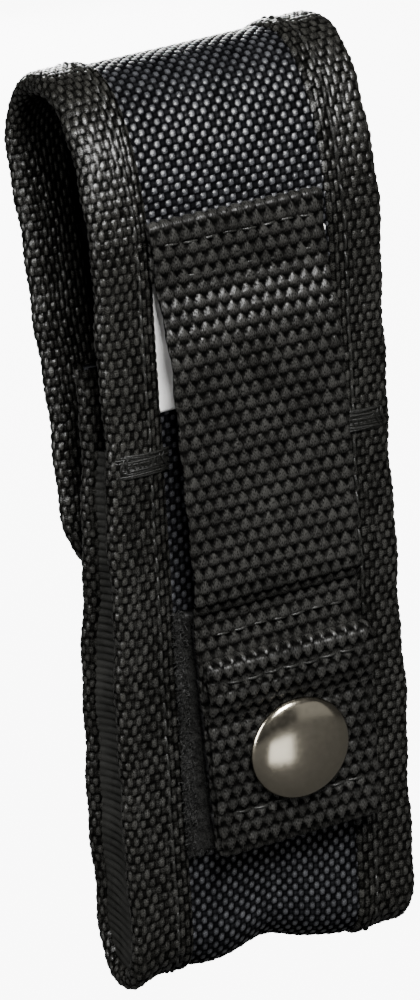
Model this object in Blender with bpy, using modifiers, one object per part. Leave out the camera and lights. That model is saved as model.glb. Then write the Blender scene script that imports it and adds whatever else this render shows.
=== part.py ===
"""Nylon belt holster for a compact duty flashlight.

One laminated strip makes the front panel, bottom, back panel and flap. Its edges are bound with
tape, webbing gussets close the sides, and a webbing belt strap with a snap hangs on the back.
The front faces -Y, the back (belt side) faces +Y, and +Z is up. All sizes are in metres.
The strip is drawn in a side view as (y, z) points, with z = 0 at the bottom of the pouch and
y = 0 half way between the front and back panels. The empty named holster then moves it all, so
that the world's origin lies in the middle of the belt channel.
"""

import math

import bmesh
import bpy
from mathutils import Matrix, Vector

# Overall sizes
WIDTH = 0.0430
HEIGHT = 0.1335
BODY_DEPTH = 0.0130
MOUTH_DEPTH = 0.0086
FRONT_TOP_Z = 0.0940
HINGE_Z = 0.1175
FLAP_END_Z = 0.0550
FLAP_END_DEPTH = 0.01485
FLAP_TOP_DEPTH = 0.0282
FLAP_CORNER_RADIUS = 0.0110

# Laminate: shell, foam and lining, each a gap apart
GAP = 0.0003
SHELL_THICK = 0.0005
FOAM_THICK = 0.0005
LINING_THICK = 0.0003
LAMINATE = SHELL_THICK + FOAM_THICK + LINING_THICK + 2 * GAP
HALF_LAMINATE = LAMINATE / 2

# Binding tape, folded round the edges
TAPE_THICK = 0.0004
TAPE_WIDTH = 0.0087
HALF_BINDING = HALF_LAMINATE + GAP + TAPE_THICK
EDGE_INSET = HALF_BINDING
SEAM_INSET = 0.0044
HALF_WIDTH = WIDTH / 2
HALF_PANEL = HALF_WIDTH - EDGE_INSET

# Side gussets
GUSSET_THICK = 0.0012
GUSSET_OUTER_X = 0.0197
GUSSET_TOP_Z = 0.0805

# Belt strap: webbing, its folded tab and the patches under it
STRAP_WIDTH = 0.0254
STRAP_THICK = 0.0013
STRAP_SKEW = math.radians(2.4)
STRAP_PIVOT_Z = 0.0740
STRAP_TOP_Z = 0.1152
STRAP_HINGE_Z = 0.1062
FOLD_LEAN = 0.0005
FOLD_LEAN_Z = 0.1100
CHANNEL_DEPTH = 0.0051
CHANNEL_TOP_Z = 0.1015
CHANNEL_BOTTOM_Z = 0.0625
TAB_TOP_Z = 0.0525
TAB_BOTTOM_Z = 0.0217
PATCH_THICK = 0.0012
LOOP_PATCH_Z = (0.0210, 0.0575)
LOOP_PATCH_WIDTH = 0.0250
HOOK_PATCH_Z = (0.0250, 0.0565)
HOOK_PATCH_WIDTH = 0.0230
TAB_LEAN_Z = (0.0432, 0.0464)
HEM_LENGTH = 0.0048
TURN_SPARE = 0.0001
STITCH_MARGIN = 0.0012
TAB_STITCH_MARGIN = 0.0022

# Snap fastener
SNAP_Z = 0.0365
CAP_RADIUS = 0.0075
CAP_HEIGHT = 0.0026
CAP_BRIM = 0.0006
SOCKET_RADIUS = 0.0058
SOCKET_DEPTH = 0.0017
SOCKET_BORE = 0.0036
STUD_RADIUS = 0.0052
STUD_HEAD_RADIUS = 0.0032
STUD_HEIGHT = 0.0016
POST_RADIUS = 0.0019
POST_HEAD_RADIUS = 0.0050
POST_HEAD_THICK = 0.0005
SNAP_EDGE = 0.0003
POST_HOLE = POST_RADIUS + GAP
PATCH_HOLE = SOCKET_RADIUS + 2 * GAP

# Closure patches between the flap and the front panel
CLOSURE_WIDTH = 0.0240
CLOSURE_THICK = 0.0007
CLOSURE_Z = (0.0610, 0.0740)

# Thread, label and bar tacks
THREAD_RADIUS = 0.00018
ANCHOR_ROWS_Z = (0.1118, 0.1070)
HEM_ROW_Z = 0.0490
TAB_LOW_ROW_Z = 0.0284
PATCH_ROW_Z = 0.0553
LABEL_Z = (0.0875, 0.1060)
LABEL_WIDTH = 0.0248
LABEL_THICK = 0.0002
BARTACK_Z = 0.0805
BARTACK_SIZE = (0.0080, 0.0007, 0.0030)

# Places in the side view
BACK_Y = BODY_DEPTH / 2
BACK_FACE_Y = BACK_Y + HALF_LAMINATE
BEND_Z = HALF_BINDING + BODY_DEPTH / 2
STRAP_SEAT_Y = BACK_Y + HALF_BINDING + GAP
TAB_INNER_Y = BACK_FACE_Y + 3 * GAP + 2 * PATCH_THICK
TAB_FACE_Y = TAB_INNER_Y + 2 * STRAP_THICK + GAP + 2 * TURN_SPARE
CHANNEL_Y = BACK_FACE_Y + CHANNEL_DEPTH
HUNG_AT = Vector((0.0, BACK_FACE_Y + CHANNEL_DEPTH / 2, (CHANNEL_TOP_Z + CHANNEL_BOTTOM_Z) / 2))


# ---------------------------------------------------------------- scene helpers


def clear_scene():
    for obj in list(bpy.data.objects):
        bpy.data.objects.remove(obj, do_unlink=True)


def new_collection(name):
    collection = bpy.data.collections.new(name)
    bpy.context.scene.collection.children.link(collection)
    return collection


def new_material(name, colour, roughness, metallic=0.0):
    material = bpy.data.materials.new(name)
    material.use_nodes = True
    shader = material.node_tree.nodes["Principled BSDF"]
    shader.inputs["Base Color"].default_value = (*colour, 1.0)
    shader.inputs["Roughness"].default_value = roughness
    shader.inputs["Metallic"].default_value = metallic
    return material


def new_empty(name, place, parent):
    empty = bpy.data.objects.new(name, None)
    empty.empty_display_size = 0.01
    PARTS.objects.link(empty)
    empty.parent = parent
    empty.location = place
    return empty


def new_object(name, mesh, parent, finish, pivot=(0.0, 0.0, 0.0)):
    """A named sub-part. Its mesh is in side-view coordinates, so a parent at pivot is undone."""
    obj = bpy.data.objects.new(name, mesh)
    PARTS.objects.link(obj)
    obj.parent = parent
    obj.location = -Vector(pivot)
    mesh.materials.append(FINISHES[finish])
    return obj


def mesh_from(name, build):
    """A mesh filled by build(bm), with its faces pointing out."""
    mesh = bpy.data.meshes.new(name)
    bm = bmesh.new()
    build(bm)
    bm.to_mesh(mesh)
    bm.free()
    return mesh


def add_solidify(obj, thickness, offset):
    modifier = obj.modifiers.new("Thickness", "SOLIDIFY")
    modifier.thickness = thickness
    modifier.offset = offset
    modifier.use_even_offset = True


def cut(obj, cutter):
    modifier = obj.modifiers.new("Cut " + cutter.name, "BOOLEAN")
    modifier.operation = "DIFFERENCE"
    modifier.object = cutter


def shade(mesh, angle=40.0):
    mesh.shade_smooth()
    mesh.set_sharp_from_angle(angle=math.radians(angle))


# ---------------------------------------------------------------- side-view lines


def bezier(points, steps):
    """Points along one cubic curve, leaving out its first."""
    a, b, c, d = (Vector(p) for p in points)
    found = []
    for step in range(1, steps + 1):
        t = step / steps
        s = 1 - t
        found.append(a * s**3 + b * (3 * s * s * t) + c * (3 * s * t * t) + d * t**3)
    return found


def arc(centre, radius, start, end, steps):
    """Points round a centre from the start angle to the end angle, in degrees."""
    found = []
    for step in range(steps + 1):
        angle = math.radians(start + (end - start) * step / steps)
        offset = Vector((math.cos(angle), math.sin(angle))) * radius
        found.append(Vector(centre) + offset)
    return found


def smooth_step(value):
    value = min(max(value, 0.0), 1.0)
    return value * value * (3 - 2 * value)


def front_point(z):
    """The front panel leans back towards its mouth."""
    lean = smooth_step((z - 0.030) / 0.054)
    return Vector((BACK_Y - BODY_DEPTH + (BODY_DEPTH - MOUTH_DEPTH) * lean, z))


def outward(line):
    """The unit normal at each point, away from the pouch's inside."""
    found = []
    for index in range(len(line)):
        before = line[max(index - 1, 0)]
        after = line[min(index + 1, len(line) - 1)]
        along = (after - before).normalized()
        found.append(Vector((along.y, -along.x)))
    return found


def offset_line(line, distance):
    return [point + normal * distance for point, normal in zip(line, outward(line))]


def lengths_along(line):
    """The distance run at each point of a line."""
    found = [0.0]
    for before, after in zip(line, line[1:]):
        found.append(found[-1] + (after - before).length)
    return found


def point_at(line, distance):
    """The point and the outward normal at a distance along a line."""
    runs = lengths_along(line)
    normals = outward(line)
    for index in range(len(line) - 1):
        if distance <= runs[index + 1] or index == len(line) - 2:
            share = (distance - runs[index]) / (runs[index + 1] - runs[index])
            point = line[index].lerp(line[index + 1], share)
            normal = normals[index].lerp(normals[index + 1], share).normalized()
            return point, normal


def whole_strip():
    """The laminate's middle line, from the front panel's top edge round to the flap's end.

    It also gives the index of the point on the hinge line.
    """
    front = [front_point(FRONT_TOP_Z - HALF_BINDING - step * 0.0049) for step in range(17)]
    bend = arc((BACK_Y - BODY_DEPTH / 2, BEND_Z), BODY_DEPTH / 2, 180, 360, 12)
    back = [Vector((BACK_Y, z)) for z in (0.030, 0.060, 0.085, 0.106)]
    top = HEIGHT - HALF_BINDING
    rise = bezier(((BACK_Y, 0.106), (BACK_Y, 0.121), (BACK_Y - 0.006, top), (BACK_Y - 0.015, top)), 14)
    shoulder = Vector((BACK_Y - FLAP_TOP_DEPTH, HINGE_Z))
    end = Vector((BACK_Y - FLAP_END_DEPTH, FLAP_END_Z + EDGE_INSET))
    fall_way = (end - shoulder).normalized()
    fall = bezier((rise[-1], (BACK_Y - 0.0235, top), shoulder - fall_way * 0.010, shoulder), 12)
    drop = [shoulder.lerp(end, step / 10) for step in range(1, 11)]
    line = front + bend + back + rise + fall + drop
    hinge = min(range(len(line)), key=lambda i: abs(line[i].y - HINGE_Z) + (line[i].x < 0) * 1.0)
    return line, hinge


def body_and_flap():
    """The strip's middle line in two parts, with a gap between them on the hinge line."""
    line, hinge = whole_strip()
    body = line[: hinge + 1]
    flap = line[hinge:]
    down = (body[-2] - body[-1]).normalized()
    up = (flap[1] - flap[0]).normalized()
    body[-1] = body[-1] + down * GAP / 2
    flap[0] = flap[0] + up * GAP / 2
    return body, flap


# ---------------------------------------------------------------- sheets and tapes


def corner_half_width(left_over, half_width, radius):
    """Half the width of a sheet whose end has rounded corners, this far from that end."""
    if left_over >= radius:
        return half_width
    return half_width - radius + math.sqrt(max(radius**2 - (radius - left_over) ** 2, 0.0))


def refine_end(line, radius, steps=6):
    """The line with extra points near its end, so that the corners are round."""
    runs = lengths_along(line)
    total = runs[-1]
    places = [radius * (1 - math.cos(math.pi / 2 * step / steps)) for step in range(steps, 0, -1)]
    kept = [p for p, run in zip(line, runs) if total - run > radius * 1.02]
    added = [point_at(line, total - place)[0] for place in places]
    return kept + added + [line[-1]]


def sheet_mesh(name, line, half_width, radius=0.0):
    """An open sheet along a side-view line, with its faces looking outward."""
    runs = lengths_along(line)

    def build(bm):
        rows = []
        for point, run in zip(line, runs):
            reach = half_width
            if radius:
                reach = corner_half_width(runs[-1] - run, half_width, radius)
            rows.append([bm.verts.new((x, point.x, point.y)) for x in (-reach, reach)])
        for (a, b), (c, d) in zip(rows, rows[1:]):
            bm.faces.new((a, c, d, b))

    return mesh_from(name, build)


def outward_faces(mesh, line):
    """Turns the sheet's faces to look along the line's outward normal."""
    wanted = outward(line)[0]
    first = mesh.polygons[0].normal
    if first.y * wanted.x + first.z * wanted.y < 0:
        mesh.flip_normals()


def layer(name, line, depth, thickness, half_width, radius, parent, finish, pivot):
    """One layer of the laminate. depth is how far its outer face is from the middle line."""
    fine = refine_end(line, radius) if radius else line
    face = offset_line(fine, depth)
    mesh = sheet_mesh(name, face, half_width, radius)
    outward_faces(mesh, face)
    shade(mesh)
    obj = new_object(name, mesh, parent, finish, pivot)
    add_solidify(obj, thickness, -1)
    return obj


def tape_section():
    """The folded tape's section: (out past the panel's edge, up from its middle plane)."""
    leg = TAPE_WIDTH - HALF_BINDING
    outer = arc((0.0, 0.0), HALF_BINDING, 90, -90, 4)
    inner = arc((0.0, 0.0), HALF_BINDING - TAPE_THICK, -90, 90, 4)
    section = [Vector((-leg, HALF_BINDING))] + outer + [Vector((-leg, -HALF_BINDING))]
    section += [Vector((-leg, TAPE_THICK - HALF_BINDING))] + inner
    section += [Vector((-leg, HALF_BINDING - TAPE_THICK))]
    return section


def loft(name, rings):
    """A closed solid through rings of as many points each, with flat ends."""

    def build(bm):
        rows = [[bm.verts.new(point) for point in ring] for ring in rings]
        count = len(rings[0])
        for lower, upper in zip(rows, rows[1:]):
            for i in range(count):
                j = (i + 1) % count
                bm.faces.new((lower[i], lower[j], upper[j], upper[i]))
        bm.faces.new(rows[0])
        bm.faces.new(rows[-1])
        bmesh.ops.recalc_face_normals(bm, faces=bm.faces[:])

    return mesh_from(name, build)


def edge_path(line, half_width, radius):
    """A path round the sheet's free end, as (point, outward, normal) in space.

    It runs along the +X edge, round the two corners of the line's end and back along -X.
    """
    total = lengths_along(line)[-1]
    stations = [(run, half_width, 0.0) for run in lengths_along(line) if total - run > radius * 1.02]
    corner = [
        (total - radius + radius * math.sin(a), half_width - radius + radius * math.cos(a), a)
        for a in (math.radians(15 * step) for step in range(7))
    ]
    right = [(run, -x, math.pi - a) for run, x, a in reversed(stations + corner)]
    found = []
    for run, x, angle in stations + corner + right:
        point, normal = point_at(line, run)
        along = Vector((-normal.y, normal.x))
        centre = Vector((x, point.x, point.y))
        out = Vector((math.cos(angle), along.x * math.sin(angle), along.y * math.sin(angle)))
        found.append((centre, out.normalized(), Vector((0.0, normal.x, normal.y))))
    return found


def side_path(line, side, half_width):
    """A path along one side edge, as (point, outward, normal) in space."""
    found = []
    for point, normal in zip(line, outward(line)):
        centre = Vector((side * half_width, point.x, point.y))
        found.append((centre, Vector((side, 0.0, 0.0)), Vector((0.0, normal.x, normal.y))))
    return found


def tape(name, path, parent, pivot=(0.0, 0.0, 0.0)):
    """Binding tape folded round the edge that the path follows."""
    section = tape_section()
    rings = [[centre + out * s.x + normal * s.y for s in section] for centre, out, normal in path]
    mesh = loft(name, rings)
    shade(mesh, 50)
    return new_object(name, mesh, parent, "tape", pivot)


def thread(name, points, parent, pivot=(0.0, 0.0, 0.0)):
    """A sewing thread laid along points in space."""
    curve = bpy.data.curves.new(name, "CURVE")
    curve.dimensions = "3D"
    curve.bevel_depth = THREAD_RADIUS
    curve.bevel_resolution = 1
    curve.use_fill_caps = True
    spline = curve.splines.new("POLY")
    spline.points.add(len(points) - 1)
    for target, point in zip(spline.points, points):
        target.co = (*point, 1.0)
    return new_object(name, curve, parent, "thread", pivot)


def seam_along(path, inset, lift):
    """The points of a seam line, an inset in from the edge and a lift over the middle plane."""
    return [centre - out * inset + normal * lift for centre, out, normal in path]


def block(name, low, high, parent, finish, pivot=(0.0, 0.0, 0.0), bevel=0.0):
    """A box between two corners, with its edges softened."""

    def build(bm):
        size = Vector(high) - Vector(low)
        middle = (Vector(high) + Vector(low)) / 2
        matrix = Matrix.Translation(middle) @ Matrix.Diagonal((*size, 1.0))
        bmesh.ops.create_cube(bm, size=1.0, matrix=matrix)

    obj = new_object(name, mesh_from(name, build), parent, finish, pivot)
    if bevel:
        modifier = obj.modifiers.new("Softened", "BEVEL")
        modifier.width = bevel
        modifier.segments = 1
    return obj


# ---------------------------------------------------------------- strap helpers


def skewed(point):
    """The strap is sewn on a little out of true, so each of its points turns about Y."""
    rise = point.z - STRAP_PIVOT_Z
    return Vector(
        (
            point.x * math.cos(STRAP_SKEW) + rise * math.sin(STRAP_SKEW),
            point.y,
            STRAP_PIVOT_Z - point.x * math.sin(STRAP_SKEW) + rise * math.cos(STRAP_SKEW),
        )
    )


def skew_mesh(mesh):
    for vertex in mesh.vertices:
        vertex.co = skewed(vertex.co)


def skewed_thread(name, half_width, y, z, parent, pivot=(0.0, 0.0, 0.0)):
    points = [Vector((share * half_width, y, z)) for share in (-1.0, -0.5, 0.0, 0.5, 1.0)]
    return thread(name, [skewed(point) for point in points], parent, pivot)


SNAP_CENTRE = skewed(Vector((0.0, 0.0, SNAP_Z)))


def turned(name, profile, base_y, parent, finish, pivot=(0.0, 0.0, 0.0)):
    """A turned piece on the snap's axis, which runs along +Y from base_y.

    The profile holds (radius, height) points and runs down its outer side.
    """

    def build(bm):
        verts = [bm.verts.new((radius, 0.0, height)) for radius, height in profile]
        for a, b in zip(verts, verts[1:]):
            bm.edges.new((a, b))

    mesh = mesh_from(name, build)
    obj = new_object(name, mesh, parent, finish)
    obj.location = Vector((SNAP_CENTRE.x, base_y, SNAP_CENTRE.z)) - Vector(pivot)
    obj.rotation_euler = (-math.pi / 2, 0.0, 0.0)
    screw = obj.modifiers.new("Turned", "SCREW")
    screw.steps = 24
    screw.render_steps = 24
    screw.use_merge_vertices = True
    screw.merge_threshold = 0.00001
    screw.use_smooth_shade = True
    return obj


def cutter_cylinder(name, radius, low_y, high_y):
    """A guide on the snap's axis that cuts a round hole."""

    def build(bm):
        bmesh.ops.create_cone(
            bm, cap_ends=True, segments=24, radius1=radius, radius2=radius, depth=high_y - low_y
        )

    obj = bpy.data.objects.new(name, mesh_from(name, build))
    CUTTERS.objects.link(obj)
    obj.parent = HOLSTER
    obj.location = (SNAP_CENTRE.x, (low_y + high_y) / 2, SNAP_CENTRE.z)
    obj.rotation_euler = (-math.pi / 2, 0.0, 0.0)
    obj.hide_render = True
    obj.display_type = "WIRE"
    return obj


# ---------------------------------------------------------------- pouch body


def make_laminate(part, line, radius, parent, pivot=(0.0, 0.0, 0.0)):
    """The shell, foam and lining of the body or of the flap."""
    depth = HALF_LAMINATE
    made = {}
    for kind, thickness in (("shell", SHELL_THICK), ("foam", FOAM_THICK), ("lining", LINING_THICK)):
        made[kind] = layer(
            f"{part}_{kind}", line, depth, thickness, HALF_PANEL, radius, parent, kind, pivot
        )
        depth -= thickness + GAP
    return made


def make_body(body):
    """The front panel, bottom and back panel, with their binding tape."""
    made = make_laminate("body", body, 0.0, HOLSTER)
    for obj in made.values():
        cut(obj, CUT_POST)
    for side, word in ((1, "left"), (-1, "right")):
        path = side_path(body, side, HALF_PANEL)
        tape(f"body_binding_{word}", path, HOLSTER)
        seam = seam_along(path, SEAM_INSET, HALF_BINDING + GAP + THREAD_RADIUS)
        thread(f"body_seam_{word}", seam[1:-1], HOLSTER)


def make_front_top_binding(body):
    """Tape over the front panel's top edge, between the two side bindings."""
    reach = HALF_WIDTH - TAPE_WIDTH - GAP
    top, normal = body[0], outward(body)[0]
    up = Vector((0.0, -normal.y, normal.x))
    if up.z < 0:
        up = -up
    out = Vector((0.0, normal.x, normal.y))
    centre = Vector((0.0, top.x, top.y))
    rings = []
    for x in (-reach, reach):
        ring = [centre + Vector((x, 0.0, 0.0)) + up * s.x + out * s.y for s in tape_section()]
        rings.append(ring)
    mesh = loft("front_top_binding", rings)
    shade(mesh, 50)
    new_object("front_top_binding", mesh, HOLSTER, "tape")


def below(line, top):
    """The stretch of a line under a height, with a point where it crosses that height."""
    found = []
    for before, after in zip(line, line[1:]):
        if before.y < top:
            found.append(before)
        if (before.y < top) != (after.y < top):
            found.append(before.lerp(after, (top - before.y) / (after.y - before.y)))
    return found


def make_gussets(body):
    """A webbing web on each side, between the front and back bindings, closed at the bottom."""
    outline = below(offset_line(body, -(HALF_BINDING + GAP)), GUSSET_TOP_Z)
    for side, word in ((1, "left"), (-1, "right")):
        name = f"gusset_{word}"
        far = side * GUSSET_OUTER_X
        near = side * (GUSSET_OUTER_X - GUSSET_THICK)
        rings = [[Vector((x, p.x, p.y)) for p in outline] for x in (near, far)]
        new_object(name, loft(name, rings), HOLSTER, "gusset")


def make_bartacks():
    """Dense thread over each back binding where the gusset's top corner is caught."""
    wide, deep, tall = BARTACK_SIZE
    low_y = BACK_Y + HALF_BINDING + 2 * GAP + 2 * THREAD_RADIUS
    for side, word in ((1, "left"), (-1, "right")):
        middle = side * (HALF_WIDTH - wide / 2 - 0.0008)
        low = (middle - wide / 2, low_y, BARTACK_Z - tall / 2)
        high = (middle + wide / 2, low_y + deep, BARTACK_Z + tall / 2)
        block(f"bartack_{word}", low, high, HOLSTER, "thread", bevel=0.0003)


def make_closure_loop():
    """The soft half of the flap's fastener, on the front panel."""
    line = [front_point(CLOSURE_Z[0] + step * (CLOSURE_Z[1] - CLOSURE_Z[0]) / 3) for step in range(4)]
    line.reverse()
    face = offset_line(line, HALF_LAMINATE + GAP + CLOSURE_THICK)
    mesh = sheet_mesh("front_loop_patch", face, CLOSURE_WIDTH / 2)
    outward_faces(mesh, face)
    obj = new_object("front_loop_patch", mesh, HOLSTER, "pile")
    add_solidify(obj, CLOSURE_THICK, -1)


def make_back_loop_patch():
    """The soft patch on the back panel that the strap's tab presses on."""
    half = LOOP_PATCH_WIDTH / 2
    low = (-half, BACK_FACE_Y + GAP, LOOP_PATCH_Z[0])
    high = (half, BACK_FACE_Y + GAP + PATCH_THICK, LOOP_PATCH_Z[1])
    cut(block("back_loop_patch", low, high, HOLSTER, "pile"), CUT_PATCH)


def make_label():
    """A blank sewn-in label on the back panel, behind the strap."""
    half = LABEL_WIDTH / 2
    low = (-half, BACK_FACE_Y + GAP, LABEL_Z[0])
    high = (half, BACK_FACE_Y + GAP + LABEL_THICK, LABEL_Z[1])
    block("label", low, high, HOLSTER, "label")


# ---------------------------------------------------------------- belt strap


def strap_top_line():
    """The anchored, folded end of the strap: down the outside, over the top and down the inside."""
    half = STRAP_THICK / 2
    inner = STRAP_SEAT_Y + half
    outer = inner + STRAP_THICK + GAP
    radius = (outer - inner) / 2
    top = STRAP_TOP_Z - half - radius
    fold = arc(((inner + outer) / 2 - FOLD_LEAN, top), radius, 180, 0, 6)
    tail = [Vector((inner, STRAP_HINGE_Z + GAP)), Vector((inner, FOLD_LEAN_Z))]
    return tail + fold + [Vector((outer, FOLD_LEAN_Z)), Vector((outer, STRAP_HINGE_Z + GAP / 2))]


def strap_line():
    """The free strap: out round the belt, in over the patches, and doubled up as the tab."""
    half = STRAP_THICK / 2
    start = STRAP_SEAT_Y + half + STRAP_THICK + GAP
    run = CHANNEL_Y + half
    inner = TAB_INNER_Y + half
    turn = half + GAP / 2 + TURN_SPARE
    outer = inner + 2 * turn
    tail = inner + STRAP_THICK + GAP
    hem = tail + STRAP_THICK + GAP
    hem_turn = (hem - tail) / 2
    hem_top = TAB_TOP_Z - half - hem_turn
    line = [Vector((start, STRAP_HINGE_Z - GAP / 2))]
    line += bezier(
        ((start, STRAP_HINGE_Z), (start, 0.1045), (run, 0.1045), (run, CHANNEL_TOP_Z - 0.0004)), 6
    )
    line += [Vector((run, CHANNEL_BOTTOM_Z + 0.0004))]
    line += bezier(((run, CHANNEL_BOTTOM_Z), (run, 0.0598), (inner, 0.0598), (inner, 0.0572)), 6)
    line += arc((inner + turn, TAB_BOTTOM_Z + half + turn), turn, 180, 360, 8)
    line += [Vector((outer, TAB_LEAN_Z[0]))]
    line += [Vector((hem - TURN_SPARE, TAB_LEAN_Z[1]))]
    line += arc(((tail + hem) / 2, hem_top), hem_turn, 0, 180, 8)
    line += [Vector((tail, TAB_TOP_Z - HEM_LENGTH))]
    return line


def webbing(name, line, parent, pivot=(0.0, 0.0, 0.0)):
    """A length of the strap about a side-view line, skewed as it is sewn on."""
    mesh = sheet_mesh(name, line, STRAP_WIDTH / 2)
    skew_mesh(mesh)
    shade(mesh, 60)
    obj = new_object(name, mesh, parent, "webbing", pivot)
    add_solidify(obj, STRAP_THICK, 0)
    return obj


def make_anchor():
    """The strap's folded top end, sewn to the back panel by two rows of stitches."""
    webbing("strap_anchor", strap_top_line(), HOLSTER)
    face = STRAP_SEAT_Y + 2 * STRAP_THICK + GAP
    lift = face + GAP + THREAD_RADIUS
    for word, z in zip(("upper", "lower"), ANCHOR_ROWS_Z):
        skewed_thread(f"anchor_stitches_{word}", STRAP_WIDTH / 2 - STITCH_MARGIN, lift, z, HOLSTER)


def make_strap():
    """The free belt strap with its tab, hook patch and rows of stitches."""
    strap = webbing("belt_strap", strap_line(), STRAP_HINGE, STRAP_AXIS)
    cut(strap, CUT_CAP)
    half = HOOK_PATCH_WIDTH / 2
    low = (-half, BACK_FACE_Y + 2 * GAP + PATCH_THICK, HOOK_PATCH_Z[0])
    high = (half, BACK_FACE_Y + 2 * GAP + 2 * PATCH_THICK, HOOK_PATCH_Z[1])
    patch = block("strap_hook_patch", low, high, STRAP_HINGE, "hooks", STRAP_AXIS)
    skew_mesh(patch.data)
    cut(patch, CUT_PATCH)
    lift = GAP + THREAD_RADIUS
    hem = TAB_INNER_Y + 3 * STRAP_THICK + 2 * GAP
    reach = STRAP_WIDTH / 2 - TAB_STITCH_MARGIN
    skewed_thread("tab_hem_stitches", reach, hem + lift, HEM_ROW_Z, STRAP_HINGE, STRAP_AXIS)
    skewed_thread("tab_lower_stitches", reach, TAB_FACE_Y + lift, TAB_LOW_ROW_Z, STRAP_HINGE, STRAP_AXIS)
    above = TAB_INNER_Y + STRAP_THICK
    skewed_thread("hook_patch_stitches", reach, above + lift, PATCH_ROW_Z, STRAP_HINGE, STRAP_AXIS)


# ---------------------------------------------------------------- snap fastener


def make_snap():
    """Cap and socket on the strap, stud and post on the back panel."""
    depth = TAB_INNER_Y - GAP - SNAP_EDGE - TAB_FACE_Y
    rise = CAP_HEIGHT - CAP_BRIM
    cap = []
    for degrees in (0, 18, 36, 54, 68, 80, 90):
        angle = math.radians(degrees)
        cap.append((CAP_RADIUS * math.sin(angle), GAP + CAP_BRIM + rise * math.cos(angle)))
    cap += [(CAP_RADIUS, GAP + SNAP_EDGE), (CAP_RADIUS - SNAP_EDGE, GAP), (POST_RADIUS, GAP)]
    cap += [(POST_RADIUS, depth), (0.0, depth)]
    turned("snap_cap", cap, TAB_FACE_Y, STRAP_HINGE, "steel", STRAP_AXIS)

    socket = [
        (POST_HOLE, 0.0),
        (SOCKET_RADIUS - SNAP_EDGE, 0.0),
        (SOCKET_RADIUS, -SNAP_EDGE),
        (SOCKET_RADIUS, SNAP_EDGE - SOCKET_DEPTH),
        (SOCKET_RADIUS - SNAP_EDGE, -SOCKET_DEPTH),
        (SOCKET_BORE, -SOCKET_DEPTH),
        (SOCKET_BORE, -POST_HEAD_THICK),
        (POST_HOLE, -POST_HEAD_THICK),
        (POST_HOLE, 0.0),
    ]
    turned("snap_socket", socket, TAB_INNER_Y - GAP, STRAP_HINGE, "steel", STRAP_AXIS)

    stud = [
        (POST_HOLE, STUD_HEIGHT),
        (STUD_HEAD_RADIUS - SNAP_EDGE, STUD_HEIGHT),
        (STUD_HEAD_RADIUS, STUD_HEIGHT - SNAP_EDGE),
        (STUD_HEAD_RADIUS - 0.0002, POST_HEAD_THICK),
        (STUD_RADIUS - 0.0002, POST_HEAD_THICK),
        (STUD_RADIUS, SNAP_EDGE),
        (STUD_RADIUS, 0.0),
        (POST_HOLE, 0.0),
        (POST_HOLE, STUD_HEIGHT),
    ]
    turned("snap_stud", stud, BACK_FACE_Y + GAP, HOLSTER, "steel")

    reach = LAMINATE + 2 * GAP + 0.0010
    post = [
        (0.0, reach),
        (POST_RADIUS, reach),
        (POST_RADIUS, 0.0),
        (POST_HEAD_RADIUS - SNAP_EDGE, 0.0),
        (POST_HEAD_RADIUS, -SNAP_EDGE),
        (POST_HEAD_RADIUS - 0.0002, -POST_HEAD_THICK),
        (0.0, -POST_HEAD_THICK),
    ]
    turned("snap_post", post, BACK_Y - HALF_LAMINATE - GAP, HOLSTER, "steel")


# ---------------------------------------------------------------- flap


def make_flap(flap):
    """The flap that arches over the mouth and hangs down the front."""
    make_laminate("flap", flap, FLAP_CORNER_RADIUS, FLAP_HINGE, FLAP_AXIS)
    path = edge_path(flap, HALF_PANEL, FLAP_CORNER_RADIUS)
    tape("flap_binding", path, FLAP_HINGE, FLAP_AXIS)
    seam = seam_along(path, SEAM_INSET, HALF_BINDING + GAP + THREAD_RADIUS)
    thread("flap_seam", seam[1:-1], FLAP_HINGE, FLAP_AXIS)


def make_closure_hook(flap):
    """The hook half of the fastener, inside the flap's end."""
    total = lengths_along(flap)[-1]
    line = []
    for step in range(4):
        line.append(point_at(flap, total - 0.0190 + step * 0.0100 / 3)[0])
    face = offset_line(line, -(HALF_LAMINATE + GAP))
    mesh = sheet_mesh("flap_hook_patch", face, CLOSURE_WIDTH / 2)
    outward_faces(mesh, face)
    obj = new_object("flap_hook_patch", mesh, FLAP_HINGE, "hooks", FLAP_AXIS)
    add_solidify(obj, CLOSURE_THICK, -1)


# ---------------------------------------------------------------- build

clear_scene()
PARTS = new_collection("flashlight_holster")
CUTTERS = new_collection("holster_cutters")
FINISHES = {
    "shell": new_material("ballistic_nylon", (0.016, 0.016, 0.019), 0.62),
    "foam": new_material("closed_foam", (0.060, 0.060, 0.062), 0.85),
    "lining": new_material("lining_fabric", (0.014, 0.014, 0.015), 0.75),
    "tape": new_material("binding_tape", (0.015, 0.015, 0.015), 0.60),
    "gusset": new_material("gusset_webbing", (0.013, 0.013, 0.013), 0.70),
    "webbing": new_material("belt_webbing", (0.016, 0.016, 0.015), 0.60),
    "hooks": new_material("hook_tape", (0.010, 0.010, 0.010), 0.50),
    "pile": new_material("pile_tape", (0.011, 0.011, 0.011), 0.90),
    "thread": new_material("bonded_thread", (0.024, 0.024, 0.024), 0.45),
    "label": new_material("label_tape", (0.820, 0.810, 0.780), 0.70),
    "steel": new_material("snap_metal", (0.420, 0.400, 0.380), 0.22, 1.0),
}

BODY_LINE, FLAP_LINE = body_and_flap()
HINGE_POINT, HINGE_NORMAL = FLAP_LINE[0], outward(FLAP_LINE)[0]
FLAP_AXIS = Vector(
    (
        0.0,
        HINGE_POINT.x + HINGE_NORMAL.x * HALF_BINDING,
        HINGE_POINT.y + HINGE_NORMAL.y * HALF_BINDING,
    )
)
STRAP_AXIS = Vector((0.0, STRAP_SEAT_Y + 2 * STRAP_THICK + GAP, STRAP_HINGE_Z))

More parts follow.
